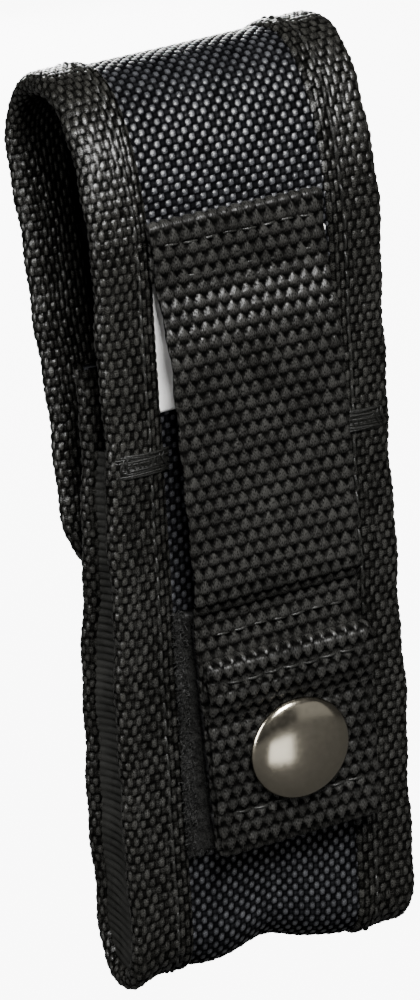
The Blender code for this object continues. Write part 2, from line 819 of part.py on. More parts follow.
HOLSTER = new_empty("holster", -HUNG_AT, None)
FLAP_HINGE = new_empty("flap_hinge_axis", FLAP_AXIS, HOLSTER)
STRAP_HINGE = new_empty("strap_hinge_axis", STRAP_AXIS, HOLSTER)
CUT_POST = cutter_cylinder("post_hole", POST_HOLE, BACK_Y - 0.002, BACK_Y + 0.002)
CUT_PATCH = cutter_cylinder("patch_hole", PATCH_HOLE, BACK_FACE_Y + GAP / 2, TAB_INNER_Y)
CUT_CAP = cutter_cylinder("cap_hole", POST_HOLE, TAB_INNER_Y - GAP, TAB_INNER_Y + 0.006)

make_body(BODY_LINE)
make_front_top_binding(BODY_LINE)
make_gussets(BODY_LINE)
make_bartacks()
make_closure_loop()
make_back_loop_patch()
make_label()
make_anchor()
make_strap()
make_snap()
make_flap(FLAP_LINE)
make_closure_hook(FLAP_LINE)
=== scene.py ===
"""Looks of the nylon flashlight holster: cloth, tape, webbing, thread and snap on the CAD frame.

Soft pieces are drawn in the same side view as the CAD part: x across, y out of the back, z up
from the bottom of the pouch, in metres. hung() then moves them into the shared frame, whose
origin is the middle of the belt channel.
"""

import math

import bpy
import numpy as np
from mathutils import Matrix, Vector


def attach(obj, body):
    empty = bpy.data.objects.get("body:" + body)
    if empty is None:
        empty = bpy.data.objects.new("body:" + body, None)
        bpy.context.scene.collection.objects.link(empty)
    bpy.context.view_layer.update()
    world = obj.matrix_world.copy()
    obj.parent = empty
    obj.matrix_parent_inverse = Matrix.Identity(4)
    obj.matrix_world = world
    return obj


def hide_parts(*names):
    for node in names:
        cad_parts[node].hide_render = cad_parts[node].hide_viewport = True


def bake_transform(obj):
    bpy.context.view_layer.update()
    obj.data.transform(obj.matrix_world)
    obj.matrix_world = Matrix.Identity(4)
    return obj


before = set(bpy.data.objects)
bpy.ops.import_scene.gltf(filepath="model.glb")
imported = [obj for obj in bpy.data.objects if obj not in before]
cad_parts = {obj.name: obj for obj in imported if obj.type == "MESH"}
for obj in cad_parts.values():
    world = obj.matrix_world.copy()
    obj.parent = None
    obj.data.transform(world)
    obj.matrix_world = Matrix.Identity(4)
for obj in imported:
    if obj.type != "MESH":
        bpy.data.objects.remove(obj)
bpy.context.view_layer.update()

RNG = np.random.default_rng(11)

# Sizes shared with the CAD part
WIDTH = 0.0430
HEIGHT = 0.1335
BODY_DEPTH = 0.0130
MOUTH_DEPTH = 0.0086
FRONT_TOP_Z = 0.0940
HINGE_Z = 0.1175
FLAP_END_Z = 0.0550
FLAP_END_DEPTH = 0.01485
FLAP_TOP_DEPTH = 0.0282
FLAP_RADIUS = 0.0110
GAP = 0.0003
HALF_LAMINATE = 0.00095
TAPE_THICK = 0.0004
TAPE_LEG = 0.00665
HALF_BINDING = HALF_LAMINATE + GAP + TAPE_THICK
SEAM_INSET = 0.0044
HALF_PANEL = WIDTH / 2 - HALF_BINDING
BACK_Y = BODY_DEPTH / 2
BACK_FACE_Y = BACK_Y + HALF_LAMINATE
BEND_Z = HALF_BINDING + BODY_DEPTH / 2
STRAP_WIDTH = 0.0254
STRAP_THICK = 0.0013
STRAP_SKEW = math.radians(2.4)
STRAP_PIVOT_Z = 0.0740
STRAP_TOP_Z = 0.1152
STRAP_HINGE_Z = 0.1062
STRAP_SEAT_Y = BACK_Y + HALF_BINDING + GAP
PATCH_THICK = 0.0012
TAB_INNER_Y = BACK_FACE_Y + 3 * GAP + 2 * PATCH_THICK
CHANNEL_Y = BACK_FACE_Y + 0.0051
TAB_TOP_Z = 0.0525
TAB_BOTTOM_Z = 0.0217
SEWN_END_Z = 0.1065
FOLD_FOOT_Z = 0.1100
RUN_TOP_Z = 0.0935
RUN_BOTTOM_Z = 0.0625
TAB_START_Z = 0.0572
SNAP_Z = 0.0365
CAP_RADIUS = 0.0075
TAB_FACE_Y = TAB_INNER_Y + 2 * STRAP_THICK + GAP + 0.0002
HEM_FACE_Y = TAB_INNER_Y + 3 * STRAP_THICK + 2 * GAP
HEM_LENGTH = 0.0048
ANCHOR_ROWS_Z = (0.1118, 0.1070)
HEM_ROW_Z = 0.0490
TAB_ROW_Z = 0.0284
PATCH_ROW_Z = 0.0553
ANCHOR_ROW_HALF = 0.0115
TAB_ROW_HALF = 0.0103
BARTACK_Z = 0.0805
BARTACK_X = 0.0166
LABEL_X = (-0.0124, 0.0136)
LABEL_Z = (0.0877, 0.1122)
LOOP_X = (-0.0125, 0.0137)
LOOP_Z = (0.0207, 0.0575)
HOOK_X = (-0.0118, 0.0122)
HOOK_Z = (0.0250, 0.0568)
CLOSURE_HALF = 0.0120
FRONT_LOOP_RUN = (0.0183, 0.0314)
FLAP_HOOK_RUN = (-0.0190, -0.0090)
GUSSET_TOP_Z = 0.0805
SPLIT_Z = 0.1110
HUNG_AT = np.array([0.0, 0.0100, 0.0820])

# Weave cells: across, along
NYLON_CELL = (0.00086, 0.00100)
TAPE_CELL = (0.00067, 0.00131)
WEBBING_CELL = (0.00175, 0.00192)
RIB_PITCH = 0.00115

# Stitch length and thread radius
SEAM_PITCH = 0.0027
ROW_PITCH = 0.0026
THREAD_RADIUS = 0.00020

# How far from the middle the woven columns go, and where the tape presses the cloth flat
WOVEN_HALF = 0.0147
PRESSED_FROM = 0.0150


# ---------------------------------------------------------------- side-view lines


def smooth_step(value):
    """0 below 0, 1 above 1, and an S curve between."""
    value = np.clip(value, 0.0, 1.0)
    return value * value * (3 - 2 * value)


def bezier(a, b, c, d, steps=60):
    """Points along a cubic curve, without its first point."""
    t = np.linspace(0, 1, steps + 1)[1:, None]
    s = 1 - t
    a, b, c, d = (np.array(p, float) for p in (a, b, c, d))
    return a * s**3 + b * (3 * s * s * t) + c * (3 * s * t * t) + d * t**3


def arc(centre, radius, start, end, steps=60):
    """Points along part of a circle, between two angles in degrees."""
    angle = np.radians(np.linspace(start, end, steps + 1))
    return np.array(centre) + radius * np.stack([np.cos(angle), np.sin(angle)], 1)


def front_y(z):
    """Where the front panel stands at each height: it leans back towards the mouth."""
    lean = smooth_step((z - 0.030) / 0.054)
    return BACK_Y - BODY_DEPTH + (BODY_DEPTH - MOUTH_DEPTH) * lean


class Line:
    """A side-view line of (y, z) points that is read by the distance run along it."""

    def __init__(self, points, step=0.0001, soft=5):
        points = np.asarray(points, float)
        runs = np.concatenate([[0], np.cumsum(np.linalg.norm(np.diff(points, axis=0), axis=1))])
        self.length = runs[-1]
        self.s = np.linspace(0, self.length, int(self.length / step) + 2)
        self.y = np.interp(self.s, runs, points[:, 0])
        self.z = np.interp(self.s, runs, points[:, 1])
        way = np.gradient(np.stack([self.y, self.z], 1), self.s, axis=0)
        if soft > 1:
            kernel = np.ones(soft * 2 + 1) / (soft * 2 + 1)
            padded = np.pad(way, ((soft, soft), (0, 0)), mode="edge")
            way = np.stack([np.convolve(padded[:, k], kernel, "valid") for k in (0, 1)], 1)
        way /= np.linalg.norm(way, axis=1)[:, None]
        self.ny, self.nz = way[:, 1], -way[:, 0]

    def at(self, s):
        """Points and outward normals, as (y, z, ny, nz)."""
        return tuple(np.interp(s, self.s, row) for row in (self.y, self.z, self.ny, self.nz))


def whole_strip():
    """The laminate's middle line, from the front panel's top round to the flap's end."""
    z = np.linspace(FRONT_TOP_Z - HALF_BINDING, BEND_Z + 0.0005, 200)
    front = np.stack([front_y(z), z], 1)
    bend = arc((0.0, BEND_Z), BODY_DEPTH / 2, 180, 360)
    back = np.array([(BACK_Y, 0.106)])
    top = HEIGHT - HALF_BINDING
    rise = bezier((BACK_Y, 0.106), (BACK_Y, 0.121), (BACK_Y - 0.006, top), (BACK_Y - 0.015, top))
    shoulder = np.array((BACK_Y - FLAP_TOP_DEPTH, HINGE_Z))
    end = np.array((BACK_Y - FLAP_END_DEPTH, FLAP_END_Z + HALF_BINDING))
    way = (end - shoulder) / np.linalg.norm(end - shoulder)
    fall = bezier(rise[-1], (BACK_Y - 0.0235, top), shoulder - way * 0.010, shoulder)
    return np.concatenate([front, bend, back, rise, fall, end[None]])


def split_strip():
    """The body's line and the flap's line, which meet behind the strap's sewn end."""
    points = whole_strip()
    crossing = np.where((points[:-1, 1] < SPLIT_Z) & (points[1:, 1] >= SPLIT_Z))[0][-1]
    a, b = points[crossing], points[crossing + 1]
    middle = a + (b - a) * (SPLIT_Z - a[1]) / (b[1] - a[1])
    return (
        Line(np.concatenate([points[: crossing + 1], middle[None]])),
        Line(np.concatenate([middle[None], points[crossing + 1 :]])),
    )


# ---------------------------------------------------------------- soft shape


def bump(value, centre, reach):
    """A bell of height 1 round centre."""
    return np.exp(-(((value - centre) / reach) ** 2))


def soften(points):
    """The slack of the real cloth: a tilted top, a wavy bottom edge and sides that swell out."""
    x, y, z = points[..., 0].copy(), points[..., 1].copy(), points[..., 2].copy()
    rise = smooth_step((z - 0.100) / 0.030)
    low = 1 - smooth_step(z / 0.024)
    wave = -0.0013 + 0.0010 * bump(x, 0.0155, 0.0035) + 0.0023 * bump(x, 0.0006, 0.0050)
    wave -= 0.0008 * bump(x, -0.0124, 0.0040) + 0.0007 * smooth_step((x - 0.017) / 0.004)
    side = smooth_step((np.abs(x) - 0.0125) / 0.0065) * np.sign(x)
    swell = 0.0011 * smooth_step((0.088 - z) / 0.060)
    ripple = 0.00016 * np.sin(z * 260 + x * 90) + 0.00012 * np.sin(z * 610 - y * 400)
    return np.stack([x + side * (swell + ripple), y, z - 0.066 * x * rise + wave * low], -1)


def skewed(points):
    """The strap is sewn on a little out of true."""
    x, y, z = points[..., 0], points[..., 1], points[..., 2]
    rise = z - STRAP_PIVOT_Z
    c, s = math.cos(STRAP_SKEW), math.sin(STRAP_SKEW)
    return np.stack([x * c + rise * s, y, STRAP_PIVOT_Z - x * s + rise * c], -1)


def hung(points):
    """From the side view's frame to the shared one."""
    return points - HUNG_AT


# ---------------------------------------------------------------- meshes


def grid_faces(rows, columns, first=0, flip=False):
    """Quads between neighbouring points of a grid, whose first point has the index first."""
    i = np.arange(rows - 1)[:, None] * columns + np.arange(columns - 1)[None, :] + first
    quads = np.stack([i, i + columns, i + columns + 1, i + 1], -1).reshape(-1, 4)
    return quads[:, ::-1] if flip else quads


def new_mesh(name, points, quads, material, tone=None, uv=None):
    """A smooth mesh object, with the tone at each point if it has one; on the weaves the tone
    holds painted highlight and painted shade.
    """
    mesh = bpy.data.meshes.new(name)
    mesh.vertices.add(len(points))
    mesh.vertices.foreach_set("co", np.ascontiguousarray(points, np.float32).ravel())
    mesh.loops.add(quads.size)
    mesh.loops.foreach_set("vertex_index", np.ascontiguousarray(quads, np.int32).ravel())
    mesh.polygons.add(len(quads))
    starts = np.arange(0, quads.size, quads.shape[1], dtype=np.int32)
    mesh.polygons.foreach_set("loop_start", starts)
    mesh.update(calc_edges=True)
    if tone is not None:
        layer = mesh.attributes.new("tone", "FLOAT", "POINT")
        layer.data.foreach_set("value", np.ascontiguousarray(tone, np.float32).ravel())
    if uv is not None:
        layer = mesh.uv_layers.new(name="UVMap")
        layer.data.foreach_set("uv", np.ascontiguousarray(uv[quads.ravel()], np.float32).ravel())
    mesh.shade_smooth()
    mesh.materials.append(material)
    obj = bpy.data.objects.new(name, mesh)
    bpy.context.scene.collection.objects.link(obj)
    return obj


def grid_uv(across, along):
    """Distances across and along a sheet, in centimetres."""
    return np.stack(np.broadcast_arrays(across[None, :], along[:, None]), -1).reshape(-1, 2) * 100


def grid_object(name, points, material, tone, across, along, flip=False):
    """An open sheet through a grid of points, rows along and columns across."""
    rows, columns = points.shape[:2]
    quads = grid_faces(rows, columns, flip=flip)
    uv = grid_uv(across, along)
    return new_mesh(name, points.reshape(-1, 3), quads, material, tone.ravel(), uv)


def slab_object(name, outer, inner, material, tone_outer, tone_inner, across, along):
    """A closed sheet between two grids of points."""
    rows, columns = outer.shape[:2]
    count = rows * columns
    rim = np.concatenate(
        [
            np.arange(columns),
            np.arange(1, rows) * columns + columns - 1,
            (rows - 1) * columns + np.arange(columns - 2, -1, -1),
            np.arange(rows - 2, 0, -1) * columns,
        ]
    )
    after = np.roll(rim, -1)
    sides = np.stack([rim, after, after + count, rim + count], -1)
    quads = np.concatenate(
        [grid_faces(rows, columns), grid_faces(rows, columns, count, flip=True), sides]
    )
    points = np.concatenate([outer.reshape(-1, 3), inner.reshape(-1, 3)])
    tone = np.concatenate([tone_outer.ravel(), tone_inner.ravel()])
    uv = grid_uv(across, along)
    return new_mesh(name, points, quads, material, tone, np.concatenate([uv, uv]))


def tubes_object(name, strands, radius, material, sides=6):
    """Round strands, each a polyline of the same number of points, as one mesh."""
    strands = np.asarray(strands, float)
    count, length = strands.shape[:2]
    way = np.gradient(strands, axis=1)
    way /= np.linalg.norm(way, axis=2, keepdims=True) + 1e-12
    guide = np.where(np.abs(way[..., 1:2]) > 0.9, [[[1.0, 0.0, 0.0]]], [[[0.0, 1.0, 0.0]]])
    first = np.cross(way, guide)
    first /= np.linalg.norm(first, axis=2, keepdims=True) + 1e-12
    second = np.cross(way, first)
    angle = np.linspace(0, 2 * math.pi, sides, endpoint=False)
    radius = np.broadcast_to(np.asarray(radius, float), (count, length))[..., None, None]
    ring = first[:, :, None] * np.cos(angle)[:, None]
    ring = ring + second[:, :, None] * np.sin(angle)[:, None]
    points = strands[:, :, None] + ring * radius
    base = np.arange(count)[:, None, None] * (length * sides)
    step = np.arange(length - 1)[None, :, None] * sides
    i, j = np.arange(sides), (np.arange(sides) + 1) % sides
    low, high = base + step, base + step + sides
    quads = np.stack([low + i, low + j, high + j, high + i], -1).reshape(-1, 4)
    tone = np.repeat(0.5 + 0.5 * RNG.random(count), length * sides)
    return new_mesh(name, points.reshape(-1, 3), quads, material, tone)


# ---------------------------------------------------------------- weaves


def cell_noise(i, j, seed):
    """A fixed random-looking number from 0 to 1 for each cell of a grid."""
    value = np.sin(i * 12.9898 + j * 78.233 + seed * 37.719) * 43758.5453
    return value - np.floor(value)


def yarn(position):
    """The round section of a yarn, over a position in cells from its edge."""
    share = (position - np.floor(position)) * 2 - 1
    return np.sqrt(np.clip(1 - share**2, 0, 1))


def plain_weave(u, v, cell, seed, sunk=(0.06, 0.20, 0.72), crest_at=0.35):
    """Height and tone of a two-yarn plain weave, whose tone paints highlight on the over cells and
    crests and shade on the sunk cells and hollows.

    sunk holds the sunk cells' least tone, the spread of their tone, and their height.
    """
    a, b = u / cell[0], v / cell[1]
    i, j = np.floor(a), np.floor(b)
    over = (i + j) % 2 == 0
    fa, fb = a - i, b - j
    crown_weft = np.sin(np.clip(fa, 0, 1) * math.pi) ** 0.6
    crown_warp = np.sin(np.clip(fb, 0, 1) * math.pi) ** 0.6
    weft = yarn(b) ** 0.8 * (0.35 + 0.65 * crown_weft)
    warp = yarn(a) ** 0.8 * (0.35 + 0.65 * crown_warp)
    height = np.where(over, weft, sunk[2] * warp)
    spread = cell_noise(i, j, seed)
    # Painted highlight on the yarn crests and painted shade in the hollows, by height.
    crest_highlight = smooth_step((height - crest_at) / 0.62)
    # Over cells lighter than sunk cells as painted highlight and painted shade; spread is the
    # yarns' random tone.
    painted_light_and_spread = np.where(over, 0.50 + 0.50 * spread, sunk[0] + sunk[1] * spread) * crest_highlight
    tone = 0.01 + painted_light_and_spread
    return height, tone


def webbing_weave(u, v, cell, seed):
    """Height and tone of thick webbing, whose warp floats show as staggered pointed teeth, with
    painted highlight towards the teeth's tips and painted shade at their feet and between them.
    """
    height = np.zeros(np.broadcast(u, v).shape)
    tone = np.zeros_like(height)
    row_of = np.floor(v / cell[1])
    for step in (-1, 0, 1):
        row = row_of + step
        centre_v = (row + 0.42) * cell[1]
        shift = 0.5 * (row % 2)
        column = np.floor(u / cell[0] - shift + 0.5)
        centre_u = (column + shift) * cell[0]
        rise = (v - centre_v) / cell[1]
        t = np.where(rise > 0, rise / 0.68, rise / 0.40)
        inside = np.abs(t) < 1
        tip = np.clip(1 - np.clip(t, 0, 1), 0, 1) ** 0.90
        foot = np.sqrt(np.clip(1 - np.clip(-t, 0, 1) ** 4, 0, 1))
        half = np.where(t > 0, tip, foot) * 0.54 * cell[0] + 1e-9
        across = np.clip(1 - ((u - centre_u) / half) ** 2, 0, 1)
        here = across**0.38 * (1 - 0.20 * np.clip(t, 0, 1) ** 2 - 0.60 * np.clip(-t, 0, 1) ** 2)
        here = np.where(inside, here, 0)
        spread = cell_noise(column, row, seed)
        # Painted light: lighter with height and towards the tip, darker at the foot; spread is
        # random tone.
        shade = here**1.3 * (0.58 + 0.42 * spread) * (0.80 + 0.50 * rise)
        tone = np.where(here > height, shade, tone)
        height = np.maximum(height, here)
    under = 0.30 * yarn(u / cell[0]) * yarn(v / cell[1] + 0.1)
    # The yarns between the teeth at half tone: painted shade.
    return np.maximum(height, under), np.maximum(tone, 0.5 * under)


def steps_for(length, cell, samples):
    """Places along a length that fall on each cell's edges and between them."""
    count = max(int(round(length / cell)) * samples, samples)
    return np.linspace(0, length, count + 1)


# ---------------------------------------------------------------- materials


def link(tree, a, b):
    tree.links.new(a, b)


def remap(tree, value, span, result):
    """A node that maps value from one span to another, clamped."""
    node = tree.nodes.new("ShaderNodeMapRange")
    node.inputs["From Min"].default_value, node.inputs["From Max"].default_value = span
    node.inputs["To Min"].default_value, node.inputs["To Max"].default_value = result
    link(tree, value, node.inputs["Value"])
    return node.outputs["Result"]


def relief(tree, height, strength, distance, shader):
    """Raises the surface by height."""
    node = tree.nodes.new("ShaderNodeBump")
    node.inputs["Strength"].default_value = strength
    node.inputs["Distance"].default_value = distance
    link(tree, height, node.inputs["Height"])
    link(tree, node.outputs["Normal"], shader.inputs["Normal"])


def cloth(name, dark, light, rough, grain=1.0, spec=0.5, fibre=(70.0, 70.0), place_by="UV"):
    """Woven cloth: colour and gloss from the weave's tone, with fibre grain in both and in relief.

    dark and light are the colours of the sunk and the raised yarns, so the weaves get painted
    shade in their hollows and painted highlight on their crests. fibre is how fine the grain is
    across and along, for each unit of the coordinates that place_by names.
    """
    material = bpy.data.materials.new(name)
    material.use_nodes = True
    tree = material.node_tree
    shader = tree.nodes["Principled BSDF"]
    tone = tree.nodes.new("ShaderNodeAttribute")
    tone.attribute_name = "tone"
    place = tree.nodes.new("ShaderNodeTexCoord")
    stretch = tree.nodes.new("ShaderNodeMapping")
    stretch.inputs["Scale"].default_value = (fibre[0], fibre[1], fibre[0])
    fine = tree.nodes.new("ShaderNodeTexNoise")
    fine.inputs["Scale"].default_value = 1.0
    fine.inputs["Detail"].default_value = 2.0
    broad = tree.nodes.new("ShaderNodeTexNoise")
    broad.inputs["Scale"].default_value = 160.0
    broad.inputs["Detail"].default_value = 2.0
    link(tree, place.outputs[place_by], stretch.inputs["Vector"])
    link(tree, stretch.outputs["Vector"], fine.inputs["Vector"])
    link(tree, place.outputs["Object"], broad.inputs["Vector"])
    total = tone.outputs["Fac"]
    for noise, swing in ((fine, 0.75 * grain), (broad, 0.20)):
        spread = remap(tree, noise.outputs["Fac"], (0.32, 0.68), (1 - swing, 1 + swing))
        product = tree.nodes.new("ShaderNodeMath")
        product.operation = "MULTIPLY"
        link(tree, total, product.inputs[0])
        link(tree, spread, product.inputs[1])
        total = product.outputs[0]
    # For the weaves this ramp paints shade where the tone is low and highlight where it is high.
    ramp = tree.nodes.new("ShaderNodeValToRGB")
    ramp.color_ramp.elements[0].color = (*dark, 1)
    ramp.color_ramp.elements[1].color = (*light, 1)
    link(tree, total, ramp.inputs["Fac"])
    link(tree, ramp.outputs["Color"], shader.inputs["Base Color"])
    relief(tree, fine.outputs["Fac"], 0.55, 0.00009, shader)
    gloss = remap(tree, total, (0.15, 0.85), (0.0, spec))
    link(tree, gloss, shader.inputs["Specular IOR Level"])
    shader.inputs["Roughness"].default_value = rough
    return material


def metal(name, colour, rough):
    """Polished plate with faint scuffs."""
    material = bpy.data.materials.new(name)
    material.use_nodes = True
    tree = material.node_tree
    shader = tree.nodes["Principled BSDF"]
    place = tree.nodes.new("ShaderNodeTexCoord")
    scuffs = tree.nodes.new("ShaderNodeTexNoise")
    scuffs.inputs["Scale"].default_value = 1300.0
    scuffs.inputs["Detail"].default_value = 4.0
    link(tree, place.outputs["Object"], scuffs.inputs["Vector"])
    worn = remap(tree, scuffs.outputs["Fac"], (0.35, 0.75), (rough, rough + 0.06))
    link(tree, worn, shader.inputs["Roughness"])
    tint = tree.nodes.new("ShaderNodeValToRGB")
    tint.color_ramp.elements[0].color = (*(c * 0.86 for c in colour), 1)
    tint.color_ramp.elements[1].color = (*(min(c * 1.1, 1) for c in colour), 1)
    link(tree, scuffs.outputs["Fac"], tint.inputs["Fac"])
    link(tree, tint.outputs["Color"], shader.inputs["Base Color"])
    relief(tree, scuffs.outputs["Fac"], 0.05, 0.00002, shader)
    shader.inputs["Metallic"].default_value = 1.0
    return material


OBJECT_FIBRE = {"place_by": "Object", "fibre": (6000, 6000)}
THREAD_FIBRE = {"place_by": "Object", "fibre": (7000, 7000)}
# On nylon, tape, gusset and webbing the dark colour is painted shade in the sunk yarns and the
# light colour is painted highlight on the raised ones.
NYLON = cloth("woven_nylon", (0.0002, 0.0002, 0.0003), (0.043, 0.044, 0.048), 0.31, spec=0.70)
TAPE = cloth(
    "woven_tape", (0.0002, 0.0002, 0.0002), (0.0215, 0.0210, 0.0185), 0.28, grain=1.4, spec=0.60
)
GUSSET = cloth("woven_gusset", (0.0005, 0.0005, 0.0005), (0.018, 0.018, 0.016), 0.50, spec=0.15)
WEBBING = cloth(
    "woven_webbing", (0.0002, 0.0002, 0.0002), (0.0235, 0.0230, 0.0210), 0.33,
    grain=1.3, spec=0.30, fibre=(90, 26)
)
LINING = cloth("woven_lining", (0.0006, 0.0006, 0.0009), (0.005, 0.005, 0.006), 0.70, spec=0.08)
HOOKS = cloth(
    "hook_face", (0.0004, 0.0004, 0.0004), (0.020, 0.020, 0.020), 0.42, spec=0.22, **OBJECT_FIBRE
)
PILE = cloth(
    "pile_face", (0.0003, 0.0003, 0.0004), (0.015, 0.015, 0.014), 0.42, spec=0.22, **OBJECT_FIBRE
)
THREAD = cloth(
    "sewing_thread", (0.0015, 0.0015, 0.0015), (0.015, 0.015, 0.0135), 0.30,
    spec=0.26, **THREAD_FIBRE
)
# The sewing thread again, only darker: painted shade on the bartacks.
SHADED_THREAD = cloth(
    "tack_thread_in_shade", (0.0008, 0.0008, 0.0008), (0.009, 0.009, 0.008), 0.34,
    spec=0.16, **THREAD_FIBRE
)
LABEL = cloth("label_satin", (0.80, 0.79, 0.76), (0.98, 0.97, 0.95), 0.60, grain=0.3, spec=0.2)
STEEL = metal("nickel", (0.44, 0.40, 0.315), 0.15)

BODY_LINE, FLAP_LINE = split_strip()


def keep(obj, nodes, body=None):
    """Hides the CAD nodes that a piece stands for and puts it on the body that it rides on."""
    if nodes:
        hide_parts(*nodes)
    if body:
        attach(obj, body)


# ---------------------------------------------------------------- cloth panels


def panel_places(half, cell, samples, fine_half):
    """Columns across a panel: fine where it shows, coarse under the bindings."""
    count = int(fine_half / cell) * samples
    middle = np.arange(-count, count + 1) * (cell / samples)
    edge = middle[-1]
    side = np.linspace(edge, half, 5)[1:]
    return np.concatenate([-side[::-1], middle, side])


def end_reach(line, s, half, radius):
    """Half the panel's width at each distance along it, with rounded corners at its end."""
    if not radius:
        return np.full_like(s, half)
    left = np.clip(line.length - s, 0, radius)
    return half - radius + np.sqrt(np.clip(radius**2 - (radius - left) ** 2, 0, None))


def off_line(places, across, lift):
    """Points lifted off the strip's middle line, from what Line.at() gives."""
    y, z, ny, nz = places
    return np.stack(
        [across + 0 * lift, y[:, None] + ny[:, None] * lift, z[:, None] + nz[:, None] * lift], -1
    )


def nylon_panel(name, line, radius, seed):
    """The woven outer face of the body or of the flap."""
    cell = NYLON_CELL
    s = steps_for(line.length, cell[1], 4)
    x = panel_places(HALF_PANEL, cell[0], 4, WOVEN_HALF)
    reach = end_reach(line, s, HALF_PANEL, radius)
    grid_x = np.clip(x[None, :], -reach[:, None], reach[:, None])
    along = s[:, None] - (line.length if line is BODY_LINE else 0.0) + 0.5 * cell[1]
    height, tone = plain_weave(grid_x + 0.2 * cell[0], along + 0 * grid_x, cell, seed)
    lift = HALF_LAMINATE - 0.00022 + 0.00026 * height
    lift = np.where(np.abs(grid_x) > PRESSED_FROM, HALF_LAMINATE - 0.0002, lift)
    points = off_line(line.at(s), grid_x, lift)
    return grid_object(name, hung(soften(points)), NYLON, tone, x, s, flip=True)


def lining_panel(name, line, radius, seed):
    """The slack lining inside the body or the flap."""
    s = steps_for(line.length, 0.0010, 1)
    x = np.linspace(-HALF_PANEL, HALF_PANEL, 41)
    reach = end_reach(line, s, HALF_PANEL, radius)
    grid_x = np.clip(x[None, :], -reach[:, None], reach[:, None])
    slack = 0.00010 * np.sin(s[:, None] * 520 + grid_x * 310) + 0.00006 * np.sin(grid_x * 900)
    lift = -HALF_LAMINATE + slack
    points = off_line(line.at(s), grid_x, lift)
    tone = 0.35 + 0.3 * cell_noise(np.floor(grid_x / 0.001), np.floor(s[:, None] / 0.001), seed)
    return grid_object(name, hung(soften(points)), LINING, tone, x, s)


# ---------------------------------------------------------------- binding tape


def tape_places():
    """Places across the tape and its folded section, as (t, out, up, normal out, normal up)."""
    bend = math.pi * HALF_BINDING
    total = 2 * TAPE_LEG + bend
    t = steps_for(total, TAPE_CELL[0], 3)
    angle = np.clip((t - TAPE_LEG) / HALF_BINDING, 0, math.pi)
    out = np.where(t < TAPE_LEG, t - TAPE_LEG, HALF_BINDING * np.sin(angle))
    out = np.where(t > TAPE_LEG + bend, TAPE_LEG + bend - t, out)
    up = HALF_BINDING * np.cos(angle)
    return t, out, up, np.sin(angle), np.cos(angle)


def straight_path(line, side, s):
    """Centres, outward and normal directions along one side edge."""
    y, z, ny, nz = line.at(s)
    centre = np.stack([np.full_like(y, side * HALF_PANEL), y, z], -1)
    out = np.zeros_like(centre)
    out[:, 0] = side
    return centre, out, np.stack([np.zeros_like(y), ny, nz], -1)


def round_path(line, q, radius):
    """The same round the flap's free end: down +X, across and back up -X."""
    side = line.length - radius
    turn = radius * math.pi / 2
    across = 2 * (HALF_PANEL - radius)
    a = np.clip((q - side) / radius, 0, math.pi / 2)
    a = a + np.clip((q - side - turn - across) / radius, 0, math.pi / 2)
    over = np.clip(q - side - turn, 0, across)
    run = np.where(q < side, q, side + radius * np.sin(a))
    last = side + 2 * turn + across
    run = np.where(q > last, side - (q - last), run)
    x = (HALF_PANEL - radius) - over + radius * np.cos(a)
    y, z, ny, nz = line.at(run)
    centre = np.stack([x, y, z], -1)
    out = np.stack([np.cos(a), -nz * np.sin(a), ny * np.sin(a)], -1)
    return centre, out, np.stack([np.zeros_like(y), ny, nz], -1)


def flap_edge_length():
    """The way round the flap's edge: down one side, round its end and back up."""
    sides = 2 * (FLAP_LINE.length - FLAP_RADIUS)
    return sides + math.pi * FLAP_RADIUS + 2 * (HALF_PANEL - FLAP_RADIUS)


def tape_grid(path, q, seed, shift=0.0):
    """The folded tape's points, tones and places across, along a path of edge points."""
    centre, out, normal = path
    t, reach, up, n_out, n_up = tape_places()
    along = q[:, None] - shift + 0.5 * TAPE_CELL[1]
    loose = 0.10 * TAPE_CELL[1] * np.sin(t[None, :] * 2300 + 5 * np.sin(along * 700))
    # The tape's tone paints highlight on its raised yarns and shade on its sunk ones.
    height, tone = plain_weave(
        t[None, :] + 0 * along, along + loose, TAPE_CELL, seed, (0.12, 0.30, 0.80), 0.26
    )
    slack = 0.00012 * np.sin((q[:, None] - shift) * 190) * np.sin(t[None, :] * 420)
    lift = -0.00026 + 0.00036 * height + slack
    edge = np.minimum(t, t[-1] - t)[None, :]
    lift = lift - 0.00062 * (1 - smooth_step(edge / 0.0007))
    row = reach[None, :] + n_out[None, :] * lift
    col = up[None, :] + n_up[None, :] * lift
    points = centre[:, None] + out[:, None] * row[..., None] + normal[:, None] * col[..., None]
    return points, tone, t


def side_binding(name, side, seed):
    """The tape along one side of the body."""
    q = steps_for(BODY_LINE.length, TAPE_CELL[1], 4)
    path = straight_path(BODY_LINE, side, q)
    points, tone, t = tape_grid(path, q, seed, BODY_LINE.length)
    return grid_object(name, hung(soften(points)), TAPE, tone, t, q, flip=side > 0)


def flap_binding():
    """The flap's tape, and its length."""
    length = flap_edge_length()
    q = steps_for(length, TAPE_CELL[1], 4)
    path = round_path(FLAP_LINE, q, FLAP_RADIUS)
    points, tone, t = tape_grid(path, q, 5)
    return grid_object("flap_tape", hung(soften(points)), TAPE, tone, t, q, flip=True), length


def front_top_binding():
    """The tape along the top of the front panel, and its length."""
    reach = WIDTH / 2 - 0.0087 - GAP + 0.0006
    q = steps_for(2 * reach, TAPE_CELL[1], 4)
    y, z, ny, nz = BODY_LINE.at(0.0)
    centre = np.stack([q - reach, np.full_like(q, y), np.full_like(q, z)], -1)
    out = np.tile([0.0, -nz, ny], (len(q), 1)) * (1 if ny > 0 else -1)
    normal = np.tile([0.0, ny, nz], (len(q), 1))
    points, tone, t = tape_grid((centre, out, normal), q, 9)
    return grid_object("mouth_tape", hung(soften(points)), TAPE, tone, t, q), 2 * reach


# ---------------------------------------------------------------- thread


